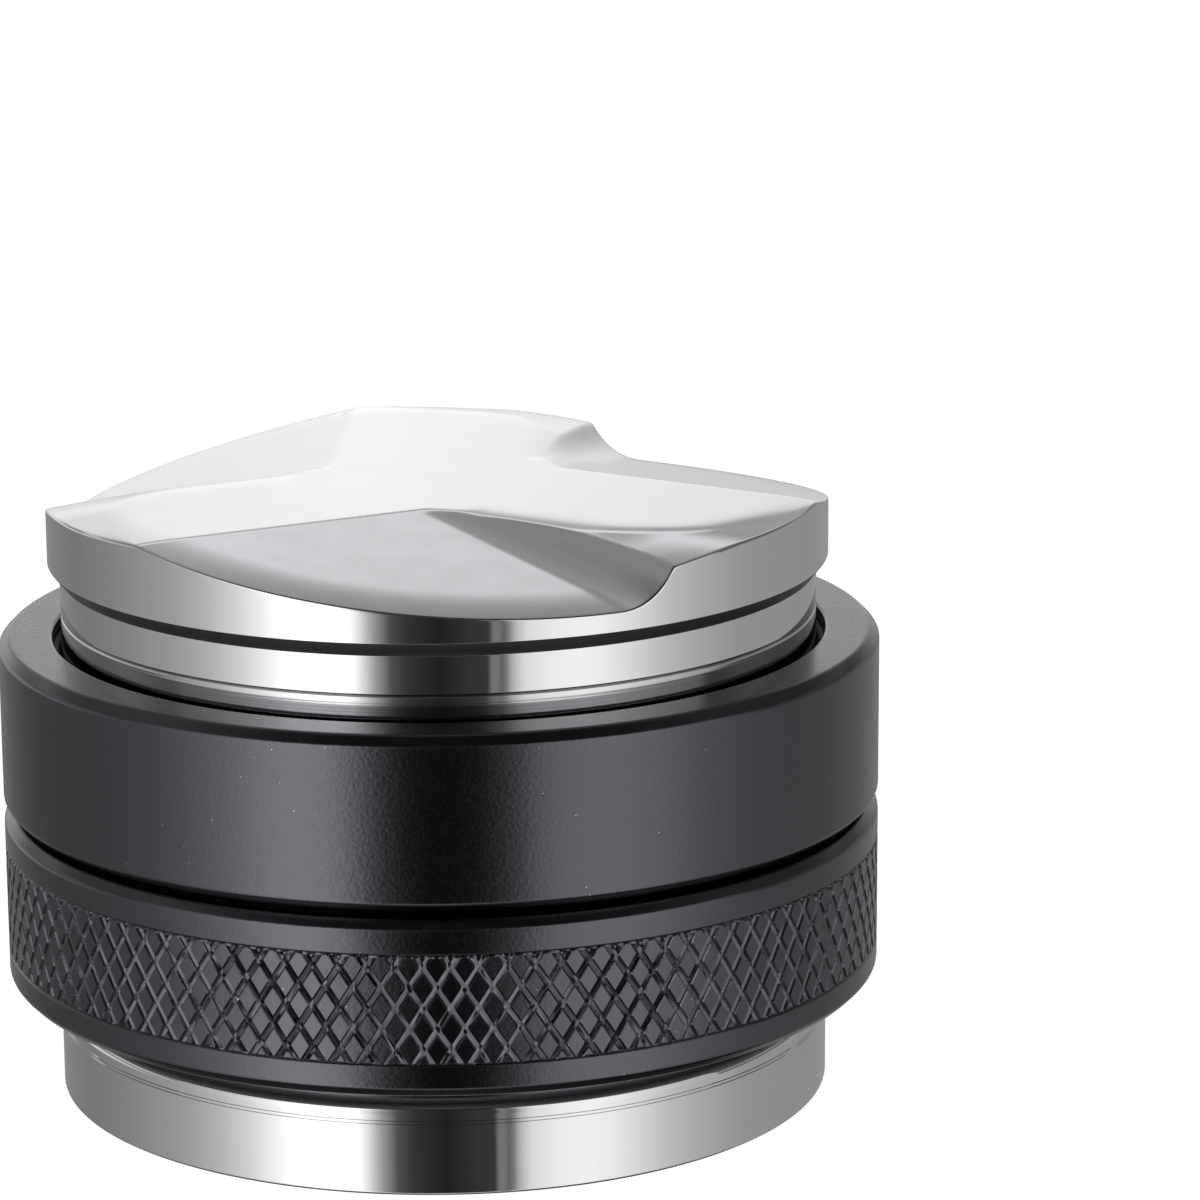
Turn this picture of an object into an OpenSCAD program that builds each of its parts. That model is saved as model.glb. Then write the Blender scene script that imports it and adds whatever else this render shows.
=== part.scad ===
// Dual-head palm tamper: a flat tamping face underneath, a three-bladed levelling face on top,
// and two depth collars that screw along a shared threaded core.
// The origin is the centre of the tamping face, +Z points up through the levelling face.

/* [Heads] */
// Diameter of both heads, which fits inside the filter basket
head_d = 53; // [51:0.5:58.5]
// Overall height, from the tamping face to the flat tops of the blades
total_h = 41.75; // [41.5:0.05:43]
// Height of the full-diameter band on the tamper head
base_band_h = 5.9; // [5:0.1:6]
// Height at which the full-diameter band on the levelling head begins
head_band_z = 36.95; // [36.8:0.05:37.2]
// Height of the joint between the levelling head and the core
seam_z = 33.3; // [33.1:0.05:33.5]
// How far the necks are stepped in from the head diameter
neck_step = 0.8; // [0.7:0.05:0.9]

/* [Blades] */
// Number of ramped blades on the levelling face
blades = 3; // [2:1:3]
// Slope of each ramp, in degrees
ramp_tilt = 10.2; // [6:0.2:10.4]
// Radius left by the cutter at the foot of each steep face
fillet_r = 4.5; // [3.6:0.1:5]
// Distance of each ramp's inner corner from the axis
ramp_start_r = 9.2; // [9:0.1:12]

/* [Collars] */
// How far the collars stand out beyond the heads
collar_proud = 3.5; // [3:0.1:5]
// Height of the underside of the tamper collar
tamper_collar_z = 7.8; // [7.7:0.05:7.9]
// Height of the tamper collar
tamper_collar_h = 11.95; // [11.7:0.05:12]
// Height of the underside of the levelling collar
distributor_collar_z = 20.15; // [20.1:0.05:20.3]
// Height of the levelling collar
distributor_collar_h = 11.65; // [11.4:0.05:11.7]
// Chamfer on the outer corners of both collars
collar_chamfer = 0.65; // [0.3:0.05:0.9]
// Height of the knurled zone above the tamper collar's underside
knurl_z = 2.3; // [1.8:0.1:2.5]
// Height of the knurled zone
knurl_h = 7.3; // [5:0.1:7.5]

/* [Fastening] */
// Diameter of the tie stud at its thread's pitch line
stud_d = 9; // [7:0.5:9]
// Width of the nut across its flats
nut_flats = 16; // [14:0.5:16]

/* [Hidden] */
$fn = 96;

run = 0.03; // running clearance of the collar threads, and location clearance of the spigots
edge = 0.2; // broken edge on the heads
past = 1; // how far a cutter runs past the surfaces it cuts

head_r = head_d / 2;
neck_r = head_r - neck_step; // plain lands that the drag rings rub on
thread_rise = 0.25; // from the necks out to the thread's pitch line
thread_r = neck_r + thread_rise;
mouth_step = 0.2; // the collars' plain mouths are this much inside the heads, and clear the thread crests
mouth_r = head_r - mouth_step;
collar_r = head_r + collar_proud;

// Heights of the fixed stack
base_cone_h = 0.55;
base_top = 10.6;
thread_bottom = 11;
thread_top = 29.6;
head_cone_h = 1;
web_z = 20.5;
web_h = 3;
washer_h = 2;
nut_h = 5;

// Spigots that centre the heads in the ends of the core
spigot_inset = 4.5;
spigot_r = head_r - spigot_inset;
spigot_h = 2.5;
spigot_wall = 2.5;
boss_r = 8;
bore_step = 0.5; // shoulder inside the core below each spigot
core_bore_r = spigot_r - bore_step;

// Rubber rings
drag_section_r = 0.5;
drag_groove_depth = 0.45;
drag_groove_r = mouth_r + drag_groove_depth;
drag_groove_w = 1.2;
drag_slack = 0.02; // between an unsqueezed ring and the neck it rubs on
drag_ring_r = neck_r + drag_slack + drag_section_r;
drag_inset = 1.4; // from the end of a collar to the middle of its ring
long_mouth = 2.4; // plain mouth that takes the ring
seal_section_r = 0.38;
seal_groove_w = 0.9;
seal_groove_depth = 0.8;
seal_ring_r = (spigot_r + neck_r) / 2;
distributor_drag_z = distributor_collar_z + distributor_collar_h - drag_inset;
tamper_drag_z = tamper_collar_z + drag_inset;

stud_r = stud_d / 2;
stud_bottom = 4;
stud_top = 37.5;
tap_clear = 0.5; // room beyond each end of the stud
stud_hole_r = stud_r + 0.75; // clearance hole in the web and the washer
washer_r = 10;

// Full turn of an outline given as [radius, height] points
module turned(outline) {
    rotate_extrude() polygon(outline);
}

// Round ring with a round section, centred on the axis
module ring(r, section_r, z) {
    translate([0, 0, z]) rotate_extrude() translate([r, 0]) circle(section_r, $fn = 32);
}

// Plain tube standing on z, for rings, pockets and grooves
module tube(r_in, r_out, z, h) {
    translate([0, 0, z]) difference() {
        cylinder(r = r_out, h = h);
        translate([0, 0, -past]) cylinder(r = r_in, h = h + 2 * past);
    }
}

// What the ramp's flat cutter and its round foot take away, with the ramp plane on z = 0.
// X runs out along the ramp's upper edge, and Y runs down the slope.
module ramp_cut() {
    foot_angle = 105.5; // from the ramp's upper edge to the foot of the steep face
    reach = 1.6 * head_r; // far enough to leave the head on every side
    rotate([0, 0, foot_angle]) {
        translate([-reach, -2 * reach, 0]) cube([3 * reach, 2 * reach, reach]);
        translate([-reach, 0, fillet_r]) rotate([0, 90, 0]) cylinder(r = fillet_r, h = 3 * reach);
    }
}

// Tilted ramps, each ending at a steep face on its way round
module blade_cuts() {
    corner_angle = 261; // where the first ramp's inner corner lies
    edge_angle = 206; // direction of the first ramp's upper edge
    for (i = [0:blades - 1])
        rotate([0, 0, i * 360 / blades + corner_angle])
            translate([ramp_start_r, 0, total_h])
                rotate([0, 0, edge_angle - corner_angle])
                    rotate([-ramp_tilt, 0, 0])
                        ramp_cut();
}

module distributor_head() {
    pocket_top = 36;
    spigot_z = seam_z - spigot_h;
    color("silver") difference() {
        union() {
            turned([
                [0, seam_z], [neck_r, seam_z], [neck_r, head_band_z - head_cone_h],
                [head_r, head_band_z], [head_r, total_h], [0, total_h]
            ]);
            translate([0, 0, spigot_z]) cylinder(r = spigot_r, h = spigot_h + past);
        }
        blade_cuts();
        tube(boss_r, spigot_r - spigot_wall, spigot_z - past, pocket_top - spigot_z + past);
        translate([0, 0, spigot_z - past])
            cylinder(r = stud_r + run, h = stud_top + tap_clear - spigot_z + past);
    }
}

module threaded_core() {
    spigot_room = spigot_h + 0.1; // the heads seat on their rims, so the spigots stop short
    color("gainsboro") difference() {
        turned([
            [0, base_top], [neck_r, base_top], [neck_r, thread_bottom], [thread_r, thread_bottom],
            [thread_r, thread_top], [neck_r, thread_top], [neck_r, seam_z], [0, seam_z]
        ]);
        translate([0, 0, base_top - past]) cylinder(r = spigot_r + run, h = spigot_room + past);
        translate([0, 0, seam_z - spigot_room]) cylinder(r = spigot_r + run, h = spigot_room + past);
        translate([0, 0, base_top]) cylinder(r = core_bore_r, h = web_z - base_top);
        translate([0, 0, web_z + web_h]) cylinder(r = core_bore_r, h = seam_z - web_z - web_h);
        translate([0, 0, web_z - past]) cylinder(r = stud_hole_r, h = web_h + 2 * past);
        tube(seal_ring_r - seal_groove_w / 2, seal_ring_r + seal_groove_w / 2,
            seam_z - seal_groove_depth, seal_groove_depth + past);
    }
}

module tamper_base() {
    pocket_floor = 5;
    color("silver") difference() {
        turned([
            [0, 0], [head_r - edge, 0], [head_r, edge], [head_r, base_band_h],
            [neck_r, base_band_h + base_cone_h], [neck_r, base_top], [spigot_r, base_top],
            [spigot_r, base_top + spigot_h], [0, base_top + spigot_h]
        ]);
        tube(boss_r, spigot_r - spigot_wall, pocket_floor, base_top + spigot_h);
        translate([0, 0, stud_bottom - tap_clear]) cylinder(r = stud_r + run, h = base_top + spigot_h);
        tube(seal_ring_r - seal_groove_w / 2, seal_ring_r + seal_groove_w / 2,
            base_top - seal_groove_depth, seal_groove_depth + past);
    }
}

// Collar standing on z = 0, with its long plain mouth underneath and a short one on top
module collar_body(h) {
    short_mouth = 0.5;
    lead_in = 0.3; // height of the cones that lead into the thread
    c = collar_chamfer;
    turned([
        [mouth_r + edge, 0], [collar_r - c, 0], [collar_r, c], [collar_r, h - c], [collar_r - c, h],
        [mouth_r, h], [mouth_r, h - short_mouth], [thread_r + run, h - short_mouth - lead_in],
        [thread_r + run, long_mouth + lead_in], [mouth_r, long_mouth], [mouth_r, edge]
    ]);
}

module distributor_collar() {
    color("#26272b") difference() {
        translate([0, 0, distributor_collar_z + distributor_collar_h]) mirror([0, 0, 1])
            collar_body(distributor_collar_h);
        tube(mouth_r - past, drag_groove_r, distributor_drag_z - drag_groove_w / 2, drag_groove_w);
    }
}

module tamper_collar() {
    relief = 0.12; // shallow turned line at each end of the knurl
    relief_w = 0.3;
    color("#26272b") difference() {
        translate([0, 0, tamper_collar_z]) collar_body(tamper_collar_h);
        tube(mouth_r - past, drag_groove_r, tamper_drag_z - drag_groove_w / 2, drag_groove_w);
        for (z = [knurl_z, knurl_z + knurl_h])
            tube(collar_r - relief, collar_r + past, tamper_collar_z + z - relief_w / 2, relief_w);
    }
}

module distributor_drag_ring() {
    color("#1a1a1a") ring(drag_ring_r, drag_section_r, distributor_drag_z);
}

module tamper_drag_ring() {
    color("#1a1a1a") ring(drag_ring_r, drag_section_r, tamper_drag_z);
}

module head_seal_ring() {
    color("#1a1a1a") ring(seal_ring_r, seal_section_r, seam_z - seal_groove_depth / 2);
}

module base_seal_ring() {
    color("#1a1a1a") ring(seal_ring_r, seal_section_r, base_top - seal_groove_depth / 2);
}

module tie_stud() {
    chamfer = 0.8;
    color("lightgray") turned([
        [0, stud_bottom], [stud_r - chamfer, stud_bottom], [stud_r, stud_bottom + chamfer],
        [stud_r, stud_top - chamfer], [stud_r - chamfer, stud_top], [0, stud_top]
    ]);
}

module tie_washer() {
    color("lightgray") tube(stud_hole_r, washer_r, web_z + web_h, washer_h);
}

module tie_nut() {
    nut_r = nut_flats / sqrt(3); // from the axis to a corner
    color("lightgray") translate([0, 0, web_z + web_h + washer_h]) difference() {
        cylinder(r = nut_r, h = nut_h, $fn = 6);
        translate([0, 0, -past]) cylinder(r = stud_r + run, h = nut_h + 2 * past);
    }
}

distributor_head();
distributor_collar();
distributor_drag_ring();
threaded_core();
tamper_collar();
tamper_drag_ring();
tamper_base();
head_seal_ring();
base_seal_ring();
tie_stud();
tie_washer();
tie_nut();
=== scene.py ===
import math
import random

import bmesh
import bpy
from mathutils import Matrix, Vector


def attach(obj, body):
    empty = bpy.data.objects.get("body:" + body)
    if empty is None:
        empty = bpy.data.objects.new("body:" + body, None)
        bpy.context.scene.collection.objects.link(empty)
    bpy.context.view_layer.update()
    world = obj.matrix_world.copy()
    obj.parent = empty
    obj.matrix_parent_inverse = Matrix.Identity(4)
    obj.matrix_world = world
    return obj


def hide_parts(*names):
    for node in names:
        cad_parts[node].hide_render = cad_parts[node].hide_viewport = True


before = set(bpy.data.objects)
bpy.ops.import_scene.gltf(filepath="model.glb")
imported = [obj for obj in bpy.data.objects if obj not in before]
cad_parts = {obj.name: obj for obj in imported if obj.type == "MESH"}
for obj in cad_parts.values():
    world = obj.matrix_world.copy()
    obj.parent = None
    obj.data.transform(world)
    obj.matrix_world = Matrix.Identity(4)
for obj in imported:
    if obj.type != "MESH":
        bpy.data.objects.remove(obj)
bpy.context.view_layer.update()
random.seed(11)
mm = 0.001
sharpest = math.radians(40)  # edges that turn more than this stay hard
guard = 0.04  # mm of flat kept beside a rounded corner
tiny = 0.001  # mm, tolerance when heights and radii are compared
weld = 0.0006 * mm  # points closer than this become one


def hexColour(code, alpha=1):
    # sRGB hex to the linear values Blender works in
    channels = [int(code[i:i + 2], 16) / 255 for i in (0, 2, 4)]
    return [c / 12.92 if c <= 0.04045 else ((c + 0.055) / 1.055) ** 2.4 for c in channels] + [alpha]


def addNode(tree, kind, inputs=None, **settings):
    node = tree.nodes.new(kind)
    for key, value in settings.items():
        setattr(node, key, value)
    for key, value in (inputs or {}).items():
        if isinstance(value, bpy.types.NodeSocket):
            tree.links.new(value, node.inputs[key])
        else:
            node.inputs[key].default_value = value
    return node


def newMaterial(name, values):
    material = bpy.data.materials.new(name)
    material.use_nodes = True
    shader = material.node_tree.nodes["Principled BSDF"]
    for key, value in values.items():
        shader.inputs[key].default_value = value
    return material, material.node_tree, shader


def softCorners(points, bends=3):
    # swaps each [radius, height, corner] for a short arc, with a guard point on either side
    # so that the flats stay flat once the shading is smooth
    made = []
    for i, point in enumerate(points):
        corner = point[2] if len(point) > 2 else 0
        here = Vector(point[:2])
        if not corner:
            made.append(here)
            continue
        before = Vector(points[i - 1][:2]) - here
        after = Vector(points[i + 1][:2]) - here
        half = before.angle(after) / 2
        reach = min(corner / math.tan(half), 0.45 * before.length, 0.45 * after.length)
        radius = reach * math.tan(half)
        before.normalize()
        after.normalize()
        centre = here + (before + after).normalized() * (radius / math.sin(half))
        start = here + before * reach - centre
        end = here + after * reach - centre
        made.append(here + before * (reach + min(guard, reach)))
        for k in range(bends + 1):
            made.append(centre + start.slerp(end, k / bends) * radius)
        made.append(here + after * (reach + min(guard, reach)))
    return made


def copyRound(bm, copies):
    # fills the circle with copies of the sector already in bm
    everything = bm.verts[:] + bm.edges[:] + bm.faces[:]
    bmesh.ops.spin(bm, geom=everything, cent=(0, 0, 0), axis=(0, 0, 1),
                   angle=math.tau * (copies - 1) / copies, steps=copies - 1, use_duplicate=True)
    bmesh.ops.remove_doubles(bm, verts=bm.verts, dist=weld)


def lathe(points, steps):
    # spins a [radius, height] outline in mm round the axis: one sector first, then copies of it
    sectors = 24
    bm = bmesh.new()
    verts = [bm.verts.new((p[0] * mm, 0, p[1] * mm)) for p in points]
    edges = [bm.edges.new(pair) for pair in zip(verts, verts[1:])]
    bmesh.ops.spin(bm, geom=verts + edges, cent=(0, 0, 0), axis=(0, 0, 1),
                   angle=math.tau / sectors, steps=steps // sectors)
    copyRound(bm, sectors)
    bmesh.ops.recalc_face_normals(bm, faces=bm.faces)
    return bm


def makePiece(name, bm, materials, body, replaced):
    mesh = bpy.data.meshes.new(name)
    for face in bm.faces:
        face.smooth = True
    for edge in bm.edges:
        edge.smooth = edge.calc_face_angle(0) < sharpest
    bm.to_mesh(mesh)
    bm.free()
    for material in materials:
        mesh.materials.append(material)
    piece = bpy.data.objects.new(name, mesh)
    bpy.context.scene.collection.objects.link(piece)
    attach(piece, body)
    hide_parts(replaced)
    print(name, len(mesh.polygons), "faces")


def finish(tree, shader, look, stretch):
    # one noise, stretched along each axis, drives the gloss and a fine relief
    place = addNode(tree, "ShaderNodeTexCoord")
    scaled = addNode(tree, "ShaderNodeVectorMath", {0: place.outputs["Object"], 1: stretch},
                     operation="MULTIPLY")
    noise = addNode(tree, "ShaderNodeTexNoise", {"Vector": scaled.outputs[0], "Scale": 1, "Detail": 2})
    gloss = addNode(tree, "ShaderNodeMapRange", {
        "Value": noise.outputs["Fac"], "From Min": 0.3, "From Max": 0.7,
        "To Min": look["roughLow"], "To Max": look["roughHigh"],
    })
    relief = addNode(tree, "ShaderNodeBump", {
        "Height": noise.outputs["Fac"], "Strength": look["bump"], "Distance": look["depth"] * mm,
    })
    tree.links.new(gloss.outputs[0], shader.inputs["Roughness"])
    tree.links.new(relief.outputs[0], shader.inputs["Normal"])
    return noise


def turnedSteel(name, look):
    # the noise hardly changes round the axis and changes quickly with height, as a lathe tool leaves it
    material, tree, shader = newMaterial(name, {
        "Metallic": 1, "Base Color": hexColour(look["tint"]), "Anisotropic": look["smear"],
    })
    finish(tree, shader, look, (look["drift"], look["drift"], look["linesPerMm"] / mm))
    return material


def evenMetal(name, look):
    # the same size of unevenness in every direction
    material, tree, shader = newMaterial(name, {"Metallic": 1, "Base Color": hexColour(look["tint"])})
    size = 1 / (look["sizeMm"] * mm)
    finish(tree, shader, look, (size, size, size))
    return material, tree, shader


# mirror-turned stainless: clean upright reflections, very fine hoops that only soften them
steelBand = turnedSteel("mirrorTurnedSteel", dict(
    tint="d6d6d8", roughLow=0.018, roughHigh=0.045, linesPerMm=14, drift=12,
    bump=0.06, depth=0.004, smear=0.3))
# finely turned stainless: visible hoops that smear the reflections up and down
steelLand = turnedSteel("fineTurnedSteel", dict(
    tint="cfcfd1", roughLow=0.07, roughHigh=0.14, linesPerMm=6, drift=8, bump=0.45, depth=0.01, smear=0.4))
# dull turned stainless of the two cones: grey, with no clear reflection
steelCone = turnedSteel("dullTurnedSteel", dict(
    tint="cfcfd1", roughLow=0.3, roughHigh=0.42, linesPerMm=6, drift=8, bump=0.45, depth=0.01, smear=0.4))
# buffed blades: a soft white sheen with faint clouding from the polishing wheel
steelFace = evenMetal("buffedSteel", dict(
    tint="d8d8dc", roughLow=0.12, roughHigh=0.15, sizeMm=2.5, bump=0.05, depth=0.004))[0]
# bright stainless fasteners: a little uneven
fastener = evenMetal("brightStainlessFastener", dict(
    tint="c2c2c4", roughLow=0.22, roughHigh=0.4, sizeMm=1.5, bump=0.1, depth=0.01))[0]


def blackAnodised():
    # bead-blasted, black anodised aluminium: a soft grey sheen, a fine even grain and a few pale specks,
    # which are painted glints standing in for the sparkle of the blasted grain
    look = dict(tint="59595e", roughLow=0.18, roughHigh=0.25, sizeMm=0.26, bump=0.5, depth=0.02)
    paintedSparkle = dict(tint="b9bac2", apartMm=1.1, share=0.035)
    material, tree, shader = evenMetal("beadBlastedAnodise", look)
    place = addNode(tree, "ShaderNodeTexCoord")
    # painted glints: pale specks set into the base colour imitate the sparkle of the bead-blasted grain, not
    # dust on it
    dots = addNode(tree, "ShaderNodeTexVoronoi", {
        "Vector": place.outputs["Object"], "Scale": 1 / (paintedSparkle["apartMm"] * mm),
    })
    tint = addNode(tree, "ShaderNodeValToRGB", {"Fac": dots.outputs["Distance"]})
    tint.color_ramp.interpolation = "CONSTANT"
    tint.color_ramp.elements[0].color = hexColour(paintedSparkle["tint"])
    tint.color_ramp.elements[1].position = paintedSparkle["share"]
    tint.color_ramp.elements[1].color = hexColour(look["tint"])
    tree.links.new(tint.outputs["Color"], shader.inputs["Base Color"])
    return material


def nitrileRubber():
    # moulded black rubber: dull, with a faint uneven bloom
    look = dict(tint="17171a", bloom="242428", roughLow=0.5, roughHigh=0.72, sizeMm=0.2, bump=0.2, depth=0.01)
    material, tree, shader = newMaterial("nitrileRubber", {"Base Color": hexColour(look["tint"])})
    size = 1 / (look["sizeMm"] * mm)
    noise = finish(tree, shader, look, (size, size, size))
    tint = addNode(tree, "ShaderNodeValToRGB", {"Fac": noise.outputs["Fac"]})
    tint.color_ramp.elements[0].color = hexColour(look["tint"])
    tint.color_ramp.elements[1].color = hexColour(look["bloom"])
    tree.links.new(tint.outputs["Color"], shader.inputs["Base Color"])
    return material


anodise = blackAnodised()
rubber = nitrileRubber()
print("materials made")


head = dict(
    radius=26.5, top=41.75, bandFoot=36.95, neck=25.7, coneTop=35.95, seam=33.3,
    spigot=22, spigotFoot=30.8, pocketRoof=36, pocketOuter=19.5, boss=8, tap=4.53, tapRoof=38,
    steps=600, innerRings=6, middleRings=26, outerRings=54, finerFrom=19,
    wallFoot=37.5, rimEdge=0.14, cutAbove=40, hub=8, nearRidge=(1, 0.5), wallSkin=0.05,
)
blade = dict(
    count=3, corner=261, start=9.2, edge=206, tilt=10.2, foot=105.5, fillet=4.5,
    ridgeRound=0.05, steepRound=0.45, roundFrom=0.5, roundTo=3.5, ridgeLines=(-0.25, 0, 0.25),
    crestStart=(1.0, -9.7), crestEnd=(12.4, -17.1), tipAngle=-16.5, tipSpread=0.1,
    crestCorner=5, crestReach=3, crestTurn=40, crestFadeIn=2, steepDrop=0.19, rimDrop=0.08,
    landRound=3.5, landFall=0.165, rimFade=22,
    rollWidth=3.8, rollDepth=0.12,
)


def smoothMin(a, b, width):
    overlap = max(width - abs(a - b), 0)
    return min(a, b) - overlap * overlap / (4 * width)


def easeStep(low, high, value):
    t = min(max((value - low) / (high - low), 0), 1)
    return t * t * (3 - 2 * t)


def bladeFrames():
    # corner point and axes of each ramp: out along its ridge, down its slope, and square to it
    frames = []
    for k in range(blade["count"]):
        turn = math.tau * k / blade["count"]
        corner = math.radians(blade["corner"]) + turn
        edge = math.radians(blade["edge"]) + turn
        tilt = math.radians(blade["tilt"])
        foot = math.radians(blade["foot"])
        origin = Vector((blade["start"] * math.cos(corner), blade["start"] * math.sin(corner), head["top"]))
        ridge = Vector((math.cos(edge), math.sin(edge), 0))
        slope = Vector((-math.sin(edge) * math.cos(tilt), math.cos(edge) * math.cos(tilt), -math.sin(tilt)))
        square = ridge.cross(slope)
        away = square.cross(ridge * math.cos(foot) + slope * math.sin(foot))
        frames.append((origin, ridge, square, away))
    return frames


ramps = bladeFrames()


def shoulderDrop(x, y):
    # the land rounds down to a fine crest that follows the steep face and then the rim,
    # and a flatter strip runs on from the crest to the edge
    start = Vector(blade["crestStart"])
    along = (Vector(blade["crestEnd"]) - start).normalized()
    outward = Vector((along.y, -along.x))
    place = Vector((x, y)) - start
    run = place.dot(along)
    if run <= 0:
        return 0
    pastLine = min(place.dot(outward), blade["crestReach"])
    lead = min(blade["tipAngle"] - math.degrees(math.atan2(y, x)), blade["crestTurn"])
    pastRim = math.hypot(x, y) - head["radius"] + blade["tipSpread"] * lead
    corner = blade["crestCorner"]
    a = max(pastLine + corner, 0)
    b = max(pastRim + corner, 0)
    outside = math.hypot(a, b) - corner
    nearness = (outside + blade["landRound"]) / blade["landRound"]
    if nearness <= 0:
        return 0
    fall = blade["landFall"] * min(nearness, 1) ** 3 * easeStep(0, blade["rimFade"], lead)
    if outside > 0:
        fall += outside * (blade["steepDrop"] * a * a + blade["rimDrop"] * b * b) / (a * a + b * b)
    return fall * easeStep(0, blade["crestFadeIn"], run)


def bladeHeight(x, y):
    height = head["top"]
    for k in range(blade["count"]):
        turn = -math.tau * k / blade["count"]
        c = math.cos(turn)
        s = math.sin(turn)
        height = min(height, head["top"] - shoulderDrop(c * x - s * y, s * x + c * y))
    for origin, ridge, square, away in ramps:
        onPlane = origin.z - (square.x * (x - origin.x) + square.y * (y - origin.y)) / square.z
        v = (Vector((x, y, onPlane)) - origin).dot(away)
        cut = onPlane
        if v > 0:  # up the round foot of the steep face
            p = away.z ** 2 + square.z ** 2
            q = 2 * (v * away.z - blade["fillet"] * square.z)
            inside = q * q - 4 * p * v * v
            if inside < 0:
                continue
            cut = onPlane + (-q - math.sqrt(inside)) / (2 * p)
        share = easeStep(blade["roundFrom"], blade["roundTo"], v)
        soften = blade["ridgeRound"] + (blade["steepRound"] - blade["ridgeRound"]) * share
        height = smoothMin(height, cut, soften)
    roll = max(math.hypot(x, y) - head["radius"] + blade["rollWidth"], 0) / blade["rollWidth"]
    return height - blade["rollDepth"] * roll * roll


def makeHead():
    top = head["top"]
    rim = head["radius"] - head["rimEdge"]
    inner = head["hub"]
    points = [(inner * i / head["innerRings"], top) for i in range(head["innerRings"])]
    finer = head["finerFrom"]
    points += [(inner + (finer - inner) * i / head["middleRings"], top) for i in range(head["middleRings"])]
    points += [(finer + (rim - finer) * i / head["outerRings"], top) for i in range(head["outerRings"] + 1)]
    for angle in (22.5, 45, 67.5, 90):  # round edge of the rim
        a = math.radians(angle)
        points.append((rim + head["rimEdge"] * math.sin(a), top - head["rimEdge"] * (1 - math.cos(a))))
    points.append((head["radius"], top - head["rimEdge"] - guard))
    lower = softCorners([
        (head["radius"], head["wallFoot"]), (head["radius"], head["bandFoot"], 0.06),
        (head["neck"], head["coneTop"], 0.08), (head["neck"], head["seam"], 0.14),
        (head["spigot"], head["seam"]), (head["spigot"], head["spigotFoot"]),
        (head["pocketOuter"], head["spigotFoot"]), (head["pocketOuter"], head["pocketRoof"]),
        (head["boss"], head["pocketRoof"]), (head["boss"], head["spigotFoot"]),
        (head["tap"], head["spigotFoot"]), (head["tap"], head["tapRoof"]), (0, head["tapRoof"]),
    ])
    bm = lathe(points + list(lower), head["steps"])
    wide, short = head["nearRidge"]
    for origin, ridge, square, away in ramps:  # true edges along each ridge keep it crisp
        across = Vector((-ridge.y, ridge.x, 0))
        for offset in blade["ridgeLines"]:
            near = []
            for face in bm.faces:
                place = face.calc_center_median() / mm - origin
                if abs(place.z) < short and abs(place.dot(across)) < wide and place.dot(ridge) > -short:
                    near.append(face)
            parts = near + list({e for f in near for e in f.edges}) + list({v for f in near for v in f.verts})
            bmesh.ops.bisect_plane(bm, geom=parts, dist=0.002 * mm,
                                   plane_co=(origin + across * offset) * mm, plane_no=across)
    for vert in bm.verts:
        if vert.co.z > head["cutAbove"] * mm:
            vert.co.z += (bladeHeight(vert.co.x / mm, vert.co.y / mm) - top) * mm
    for face in bm.faces:
        centre = face.calc_center_median() / mm
        across = math.hypot(centre.x, centre.y)
        if head["coneTop"] < centre.z < head["bandFoot"]:
            face.material_index = 2
        elif centre.z < head["bandFoot"] or across > rim + head["wallSkin"]:
            face.material_index = 1
    makePiece("distributorHead", bm, [steelFace, steelBand, steelCone],
              "core", "distributor_head")


makeHead()


thread = dict(
    pitch=1, crest=26.2, root=25.6, bore=25.84, flat=0.12, steps=144,
    runOut=0.7, play=0.05, gap=0.03, reach=0.05,
)


def addThread(bm, foot, top, endRadius, play=0, bore=0):
    # right-hand thread between the two open edges of bm, fading out before it reaches them;
    # every thread is counted from a whole millimetre, so that the collars are in mesh with the core
    pitch = thread["pitch"]
    flat = thread["flat"] / 2
    root = thread["root"] + play
    crest = thread["crest"] + play
    start = math.floor(foot) - 2
    section = [
        (root, 0), (root, flat), (crest, pitch / 2 - flat),
        (crest, pitch / 2 + flat), (root, pitch - flat), (root, pitch),
    ]
    sleeve = bmesh.new()
    verts = [sleeve.verts.new((r * mm, 0, (start + z) * mm)) for r, z in section]
    edges = [sleeve.edges.new(pair) for pair in zip(verts, verts[1:])]
    bmesh.ops.spin(sleeve, geom=verts + edges, cent=(0, 0, 0), axis=(0, 0, 1), angle=math.tau,
                   dvec=(0, 0, pitch * mm / thread["steps"]), steps=thread["steps"])
    everything = sleeve.verts[:] + sleeve.edges[:] + sleeve.faces[:]
    turns = math.ceil(top - start) + 1
    bmesh.ops.spin(sleeve, geom=everything, cent=(0, 0, 0), axis=(0, 0, 1), angle=0,
                   dvec=(0, 0, pitch * mm), steps=turns, use_duplicate=True)
    bmesh.ops.remove_doubles(sleeve, verts=sleeve.verts, dist=weld)
    for vert in sleeve.verts:
        height = vert.co.z / mm
        radius = math.hypot(vert.co.x, vert.co.y) / mm
        fade = min(max(min(height - foot, top - height) / thread["runOut"], 0), 1)
        scale = (endRadius + (max(radius, bore) - endRadius) * fade) / radius
        vert.co.x *= scale
        vert.co.y *= scale
    for level, side in ((foot + thread["gap"], "clear_inner"), (top - thread["gap"], "clear_outer")):
        bmesh.ops.bisect_plane(sleeve, geom=sleeve.verts[:] + sleeve.edges[:] + sleeve.faces[:], dist=1e-8,
                               plane_co=(0, 0, level * mm), plane_no=(0, 0, 1), **{side: True})
    carrier = bpy.data.meshes.new("sleeve")
    sleeve.to_mesh(carrier)
    sleeve.free()
    bm.from_mesh(carrier)
    bpy.data.meshes.remove(carrier)
    for level in (foot, top):
        rims = [e for e in bm.edges if e.is_boundary]
        near = [e for e in rims if abs(e.verts[0].co.z / mm - level) < thread["reach"]]
        bmesh.ops.bridge_loops(bm, edges=near)
    bmesh.ops.recalc_face_normals(bm, faces=bm.faces)
    print("open edges after threading", len([e for e in bm.edges if len(e.link_faces) != 2]))


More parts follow.
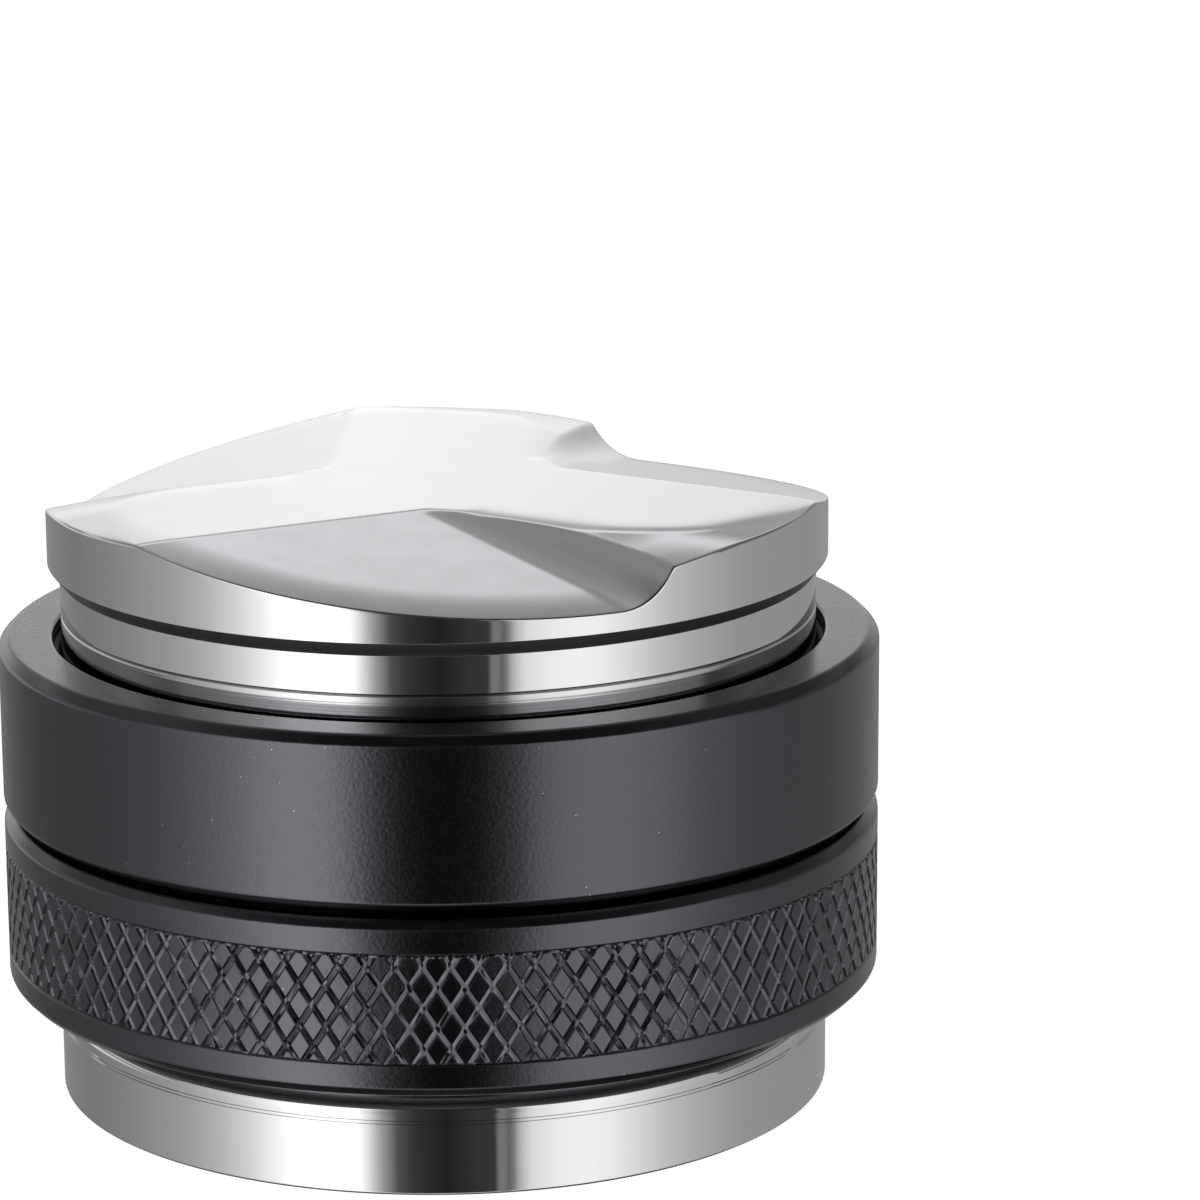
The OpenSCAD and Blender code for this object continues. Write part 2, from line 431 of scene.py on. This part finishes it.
core = dict(
    neck=25.7, foot=10.6, threadFoot=11, threadTop=29.6, seam=33.3,
    bore=21.5, socket=22.03, socketDepth=2.6, webFoot=20.5, webTop=23.5, studHole=5.25, steps=360,
    sealInner=23.4, sealOuter=24.3, sealFloor=32.5, topRing=0.2, footRing=0.1,
)


def makeCore():
    neck = core["neck"]
    outline = softCorners([
        (neck, core["threadTop"]), (neck, core["threadTop"] + core["topRing"]), (neck, core["seam"], 0.12),
        (core["sealOuter"], core["seam"]), (core["sealOuter"], core["sealFloor"]),
        (core["sealInner"], core["sealFloor"]), (core["sealInner"], core["seam"]),
        (core["socket"], core["seam"]), (core["socket"], core["seam"] - core["socketDepth"]),
        (core["bore"], core["seam"] - core["socketDepth"]), (core["bore"], core["webTop"]),
        (core["studHole"], core["webTop"]), (core["studHole"], core["webFoot"]),
        (core["bore"], core["webFoot"]), (core["bore"], core["foot"] + core["socketDepth"]),
        (core["socket"], core["foot"] + core["socketDepth"]), (core["socket"], core["foot"]),
        (neck, core["foot"], 0.12), (neck, core["threadFoot"] - core["footRing"]), (neck, core["threadFoot"]),
    ])
    bm = lathe(outline, core["steps"])
    addThread(bm, core["threadFoot"], core["threadTop"], neck)
    makePiece("threadedCore", bm, [steelLand], "core", "threaded_core")


makeCore()

base = dict(
    radius=26.5, neck=25.7, bandTop=5.9, coneTop=6.45, top=10.6, spigot=22, spigotTop=13.1,
    pocketOuter=19.5, pocketFloor=5, boss=8, tap=4.53, tapFloor=3.5, steps=480,
    grooves=(4.88, 5.11), grooveDepth=0.035, grooveWidth=0.07, faceSkin=0.05,
    sealInner=23.4, sealOuter=24.3, sealFloor=9.8,
)


def makeBase():
    radius = base["radius"]
    half = base["grooveWidth"] / 2
    outline = [(0, 0), (radius, 0, 0.2)]
    for height in base["grooves"]:
        outline += [(radius, height - half), (radius - base["grooveDepth"], height), (radius, height + half)]
    outline += [
        (radius, base["bandTop"], 0.9), (base["neck"], base["coneTop"], 0.9),
        (base["neck"], base["top"], 0.12),
        (base["sealOuter"], base["top"]), (base["sealOuter"], base["sealFloor"]),
        (base["sealInner"], base["sealFloor"]), (base["sealInner"], base["top"]),
        (base["spigot"], base["top"]), (base["spigot"], base["spigotTop"]),
        (base["pocketOuter"], base["spigotTop"]), (base["pocketOuter"], base["pocketFloor"]),
        (base["boss"], base["pocketFloor"]), (base["boss"], base["spigotTop"]),
        (base["tap"], base["spigotTop"]), (base["tap"], base["tapFloor"]), (0, base["tapFloor"]),
    ]
    bm = lathe(softCorners(outline), base["steps"])
    for face in bm.faces:
        centre = face.calc_center_median() / mm
        if centre.z > base["coneTop"]:
            face.material_index = 1
        elif centre.z < base["faceSkin"]:
            face.material_index = 2
        elif centre.z > base["bandTop"]:
            face.material_index = 3
    makePiece("tamperBase", bm, [steelBand, steelLand, steelFace, steelCone],
              "core", "tamper_base")


makeBase()
print("steel parts made")


collar = dict(
    outer=30, mouth=26.3, chamfer=0.65, shortMouth=0.5, longMouth=2.4,
    ringAt=1.4, ringGroove=0.45, ringWidth=1.2,
)
smooth = dict(foot=20.15, height=11.65, steps=408)
knurled = dict(foot=7.8, height=11.95)
knurl = dict(
    around=105, foot=2.3, height=7.3, rise=1.543, halfPitch=1.385, phase=1.0,
    depth=0.1, ridge=0.02, offsets=(0.18, 0.26, 0.32), relief=0.12,
    reliefWidth=0.26, reliefFlat=0.04, reliefStep=0.03, rough=0.03, lanes=(-3, 6),
)


def collarOutline(height):
    # from the lower end of the thread, down through the long mouth with the drag ring's groove,
    # up the outer side and in to the upper end of the thread
    outer = collar["outer"]
    mouth = collar["mouth"]
    c = collar["chamfer"]
    low = collar["ringAt"] - collar["ringWidth"] / 2
    high = collar["ringAt"] + collar["ringWidth"] / 2
    deep = mouth + collar["ringGroove"]
    return softCorners([
        (mouth, collar["longMouth"]), (mouth, high, 0.06),
        (deep, high, 0.1), (deep, low, 0.1), (mouth, low, 0.06),
        (mouth, 0, 0.2), (outer - c, 0, 0.45), (outer, c, 0.45), (outer, height - c, 0.45),
        (outer - c, height, 0.45), (mouth, height, 0.15), (mouth, height - collar["shortMouth"]),
    ])


def makeSmoothCollar():
    height = smooth["height"]
    foot = smooth["foot"]
    bm = lathe([(r, foot + height - z) for r, z in collarOutline(height)], smooth["steps"])
    addThread(bm, foot + collar["shortMouth"], foot + height - collar["longMouth"], collar["mouth"],
              thread["play"], thread["bore"])
    makePiece("distributorCollar", bm, [anodise],
              "distributor_collar", "distributor_collar")


def knurlHeight(x, z):
    # how far the surface stands from the collar's full radius; x goes round, z is above the knurl's foot
    rise = knurl["rise"]
    tall = 2 * knurl["halfPitch"]
    size = math.hypot(1, rise)
    edge = knurl["offsets"][1]
    near = knurl["offsets"][0]
    groove = 0
    ridge = -1
    for sign in (1, -1):
        offset = (z - knurl["phase"] - sign * rise * x) % tall
        distance = min(offset, tall - offset) / size
        if distance < edge:
            dip = -knurl["depth"] * min((edge - distance) / (edge - near), 1)
            groove = min(groove, dip)
        if distance < near:
            ridge = max(ridge, -knurl["depth"] + (knurl["depth"] - knurl["ridge"]) * (1 - distance / near))
    return max(groove, ridge)


def makeKnurledCollar():
    outer = collar["outer"]
    step = math.tau / knurl["around"]
    wide = step * outer
    height = knurled["height"]
    zoneFoot = knurl["foot"]
    zoneTop = knurl["foot"] + knurl["height"]
    half = knurl["reliefWidth"] / 2
    floorDepth = (knurl["depth"] + knurl["relief"]) / 2
    outline = collarOutline(height)
    onSide = [i for i, p in enumerate(outline) if p[0] > outer - tiny]
    below = [i for i in onSide if outline[i][1] < height / 2][-1]
    above = below + 1
    sideFoot = outline[below][1]
    sideTop = outline[above][1]

    # flat tile, one pitch wide: x round the collar and z up it
    bm = bmesh.new()
    bmesh.ops.create_grid(bm, x_segments=2, y_segments=1, size=0.5)
    for vert in bm.verts:
        vert.co = ((vert.co.x + 0.5) * wide, 0, sideFoot + (vert.co.y + 0.5) * (sideTop - sideFoot))

    def cut(point, normal, within=None):
        faces = [f for f in bm.faces if within is None or within[0] < f.calc_center_median().z < within[1]]
        parts = faces + list({e for f in faces for e in f.edges}) + list({v for f in faces for v in f.verts})
        bmesh.ops.bisect_plane(bm, geom=parts, dist=1e-5, plane_co=point, plane_no=normal)

    for level in (zoneFoot, zoneTop):
        for offset in (-half - knurl["reliefStep"], -half, 0, half, half + knurl["reliefStep"]):
            cut((0, 0, level + offset), (0, 0, 1))
    tall = 2 * knurl["halfPitch"]
    size = math.hypot(1, knurl["rise"])
    for sign in (1, -1):
        for lane in range(*knurl["lanes"]):
            for offset in (0,) + knurl["offsets"] + tuple(-o for o in knurl["offsets"]):
                level = zoneFoot + knurl["phase"] + lane * tall + offset * size
                cut((0, 0, level), (-sign * knurl["rise"], 0, 1), (zoneFoot, zoneTop))

    for vert in bm.verts:
        x, z = vert.co.x, vert.co.z
        lift = 0
        if zoneFoot - 1e-4 < z < zoneTop + 1e-4:
            lift = knurlHeight(x, z - zoneFoot)
        for level in (zoneFoot, zoneTop):
            depth = min(max((half + tiny - abs(z - level)) / (half - knurl["reliefFlat"]), 0), 1)
            lift = min(lift, -knurl["relief"] * depth)
        angle = x / outer
        vert.co = Vector((math.cos(angle), math.sin(angle), 0)) * (outer + lift)
        vert.co.z = z
        vert.co *= mm

    def grow(level, chain):
        # carries the tile's edge at this height along the rest of the section
        rims = [e for e in bm.edges if e.is_boundary]
        loop = [e for e in rims if all(abs(v.co.z - level * mm) < 1e-8 for v in e.verts)]
        for point in chain:
            grown = bmesh.ops.extrude_edge_only(bm, edges=loop)["geom"]
            for vert in [g for g in grown if isinstance(g, bmesh.types.BMVert)]:
                flat = Vector((vert.co.x, vert.co.y, 0)).normalized() * point[0] * mm
                vert.co = Vector((flat.x, flat.y, point[1] * mm))
            loop = [g for g in grown if isinstance(g, bmesh.types.BMEdge)]

    grow(sideFoot, outline[:below][::-1])
    grow(sideTop, outline[above + 1:])
    copyRound(bm, knurl["around"])
    for vert in bm.verts:
        vert.co.z += knurled["foot"] * mm
        across = math.hypot(vert.co.x, vert.co.y) / mm
        inZone = zoneFoot + half < vert.co.z / mm - knurled["foot"] < zoneTop - half
        if inZone and outer - floorDepth < across < outer - knurl["ridge"]:  # torn, slightly uneven grooves
            pull = 1 + random.uniform(-1, 0.6) * knurl["rough"] / outer
            vert.co.x *= pull
            vert.co.y *= pull
    foot = knurled["foot"]
    addThread(bm, foot + collar["longMouth"], foot + height - collar["shortMouth"], collar["mouth"],
              thread["play"], thread["bore"])
    makePiece("tamperCollar", bm, [anodise], "tamper_collar", "tamper_collar")


makeSmoothCollar()
makeKnurledCollar()
print("collars made")


finishes = dict(
    distributor_drag_ring=rubber, tamper_drag_ring=rubber, head_seal_ring=rubber, base_seal_ring=rubber,
    tie_stud=fastener, tie_washer=fastener, tie_nut=fastener,
)
for nodeName, material in finishes.items():
    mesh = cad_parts[nodeName].data
    mesh.materials.clear()
    mesh.materials.append(material)
print("inner parts finished")


# brightness of the studio wall by direction, in degrees round from the camera to its right;
# the two soft boxes fade outwards and have hard inner edges, with a thin gap of light beside the right one
wallLight = (
    (-180, 0.3), (-130, 0.25), (-110, 0.31), (-90, 0.42), (-80, 0.5), (-70, 0.66), (-60, 0.93), (-50, 1.35),
    (-42, 1.85), (-27, 1.85), (-23, 1.15), (-19, 0.5), (-16.5, 0.3), (-14, 0.11), (-9, 0.045), (0, 0.02),
    (9, 0.045), (14.5, 0.055), (15.8, 0.32), (17.5, 0.2), (19, 0.14), (21.5, 0.65), (25, 1.03), (32, 1.2),
    (42, 1.3), (50, 1.2), (60, 0.95), (70, 0.71), (80, 0.57), (100, 0.41), (140, 0.35), (180, 0.32),
)
studio = dict(
    wallRadius=1.0, wallFoot=-0.95, tableLine=-0.12, boxTop=0.7, boxSpread=85, brightest=2,
    floorTint="f7f7f7", floorGlow=0.82, floorDrop=0.00002,
)


def wallMaterial():
    # glowing cloth whose brightness follows wallLight round the axis
    material = bpy.data.materials.new("studioCloth")
    material.use_nodes = True
    tree = material.node_tree
    tree.nodes.clear()
    place = addNode(tree, "ShaderNodeTexCoord")
    split = addNode(tree, "ShaderNodeSeparateXYZ", {0: place.outputs["Object"]})
    front = addNode(tree, "ShaderNodeMath", {0: split.outputs["Y"], 1: -1}, operation="MULTIPLY")
    turn = addNode(tree, "ShaderNodeMath", {0: split.outputs["X"], 1: front.outputs[0]}, operation="ARCTAN2")
    level = addNode(tree, "ShaderNodeMapRange", {
        "Value": turn.outputs[0], "From Min": -math.pi, "From Max": math.pi,
    })
    shade = addNode(tree, "ShaderNodeValToRGB", {"Fac": level.outputs[0]})
    brightest = studio["brightest"]
    fillRamp(shade.color_ramp, [((angle + 180) / 360, value / brightest) for angle, value in wallLight])
    glow = addNode(tree, "ShaderNodeEmission", {"Color": shade.outputs["Color"], "Strength": brightest})
    addNode(tree, "ShaderNodeOutputMaterial", {"Surface": glow.outputs[0]})
    return material


def fillRamp(ramp, stops):
    while len(ramp.elements) < len(stops):
        ramp.elements.new(1)
    for element, (position, value) in zip(ramp.elements, stops):
        element.position = position
        element.color = (value, value, value, 1)


def makeWall(name, material, start, end, foot, top):
    bm = bmesh.new()
    radius = studio["wallRadius"]
    a = math.radians(start)
    verts = [bm.verts.new((radius * math.sin(a), -radius * math.cos(a), z)) for z in (foot, top)]
    edge = bm.edges.new(verts)
    bmesh.ops.spin(bm, geom=verts + [edge], cent=(0, 0, 0), axis=(0, 0, 1),
                   angle=math.radians(end - start), steps=90)
    mesh = bpy.data.meshes.new(name)
    for face in bm.faces:
        face.smooth = True
    bm.to_mesh(mesh)
    bm.free()
    mesh.materials.append(material)
    wall = bpy.data.objects.new(name, mesh)
    bpy.context.scene.collection.objects.link(wall)
    wall.visible_camera = False


def makeFloor():
    bm = bmesh.new()
    bmesh.ops.create_grid(bm, x_segments=1, y_segments=1, size=4)
    bmesh.ops.translate(bm, verts=bm.verts, vec=(0, 0, -studio["floorDrop"]))
    mesh = bpy.data.meshes.new("floor")
    bm.to_mesh(mesh)
    bm.free()
    material = newMaterial("paleFloor", {
        "Base Color": hexColour(studio["floorTint"]), "Roughness": 0.9,
        "Emission Color": (1, 1, 1, 1), "Emission Strength": studio["floorGlow"],
    })[0]
    mesh.materials.append(material)
    floor = bpy.data.objects.new("floor", mesh)
    bpy.context.scene.collection.objects.link(floor)
    floor.visible_glossy = False  # the steel mirrors the studio below the table line, as on a high plinth


def makeWorld():
    # pale behind the table line, and darker toward a point overhead and in front
    stops = (
        (-1, 0.03), (-0.6, 0.3), (-0.53, 0.66), (-0.47, 0.88), (-0.3, 1.3), (-0.2, 1.17), (-0.14, 1.08),
        (-0.07, 0.5), (0.02, 0.42), (0.07, 1.22), (0.12, 1.12), (0.16, 0.46), (0.26, 0.36), (0.45, 0.42),
        (0.62, 0.46), (0.75, 0.25), (0.95, 0.05), (1, 0.04),
    )
    # by side, from the left to the right
    sides = (
        (-1, 0.66), (-0.25, 0.7), (-0.1, 0.84), (-0.02, 1), (0.05, 0.87), (0.16, 0.75),
        (0.3, 0.54), (0.5, 0.34), (1, 0.34),
    )
    lean = math.radians(25)
    world = bpy.data.worlds.new("studio")
    bpy.context.scene.world = world
    world.use_nodes = True
    tree = world.node_tree
    place = addNode(tree, "ShaderNodeTexCoord")
    split = addNode(tree, "ShaderNodeSeparateXYZ", {0: place.outputs["Generated"]})
    toward = addNode(tree, "ShaderNodeVectorMath", {
        0: place.outputs["Generated"], 1: (0, -math.sin(lean), math.cos(lean)),
    }, operation="DOT_PRODUCT")
    level = addNode(tree, "ShaderNodeMapRange", {
        "Value": toward.outputs["Value"], "From Min": -1, "From Max": 1,
    })
    shade = addNode(tree, "ShaderNodeValToRGB", {"Fac": level.outputs[0]})
    fillRamp(shade.color_ramp, [((height + 1) / 2, value / studio["brightest"]) for height, value in stops])
    across = addNode(tree, "ShaderNodeMapRange", {"Value": split.outputs["X"], "From Min": -1, "From Max": 1})
    fade = addNode(tree, "ShaderNodeValToRGB", {"Fac": across.outputs[0]})
    fillRamp(fade.color_ramp, [((side + 1) / 2, value) for side, value in sides])
    strength = addNode(tree, "ShaderNodeMath", {0: fade.outputs["Color"], 1: studio["brightest"]},
                       operation="MULTIPLY")
    background = tree.nodes["Background"]
    tree.links.new(shade.outputs["Color"], background.inputs["Color"])
    tree.links.new(strength.outputs[0], background.inputs["Strength"])


cloth = wallMaterial()
makeWall("lowerWall", cloth, -180, 180, studio["wallFoot"], studio["tableLine"])
makeWall("softBoxes", cloth, -studio["boxSpread"], studio["boxSpread"], studio["tableLine"], studio["boxTop"])
makeFloor()
makeWorld()

view = dict(
    location=(0, -0.3419, 0.1163), elevation=15.5, roll=-0.825, lens=154.7, shift=(0.1328, 0.1402),
)
data = bpy.data.cameras.new("camera")
data.lens = view["lens"]
data.sensor_width = 36
data.shift_x, data.shift_y = view["shift"]
camera = bpy.data.objects.new("camera", data)
bpy.context.scene.collection.objects.link(camera)
camera.location = view["location"]
camera.rotation_mode = "XYZ"
camera.rotation_euler = (math.radians(90 - view["elevation"]), 0, 0)
camera.rotation_euler.rotate_axis("Z", math.radians(view["roll"]))
bpy.context.scene.camera = camera
bpy.context.scene.view_settings.view_transform = "Standard"
print("studio made")
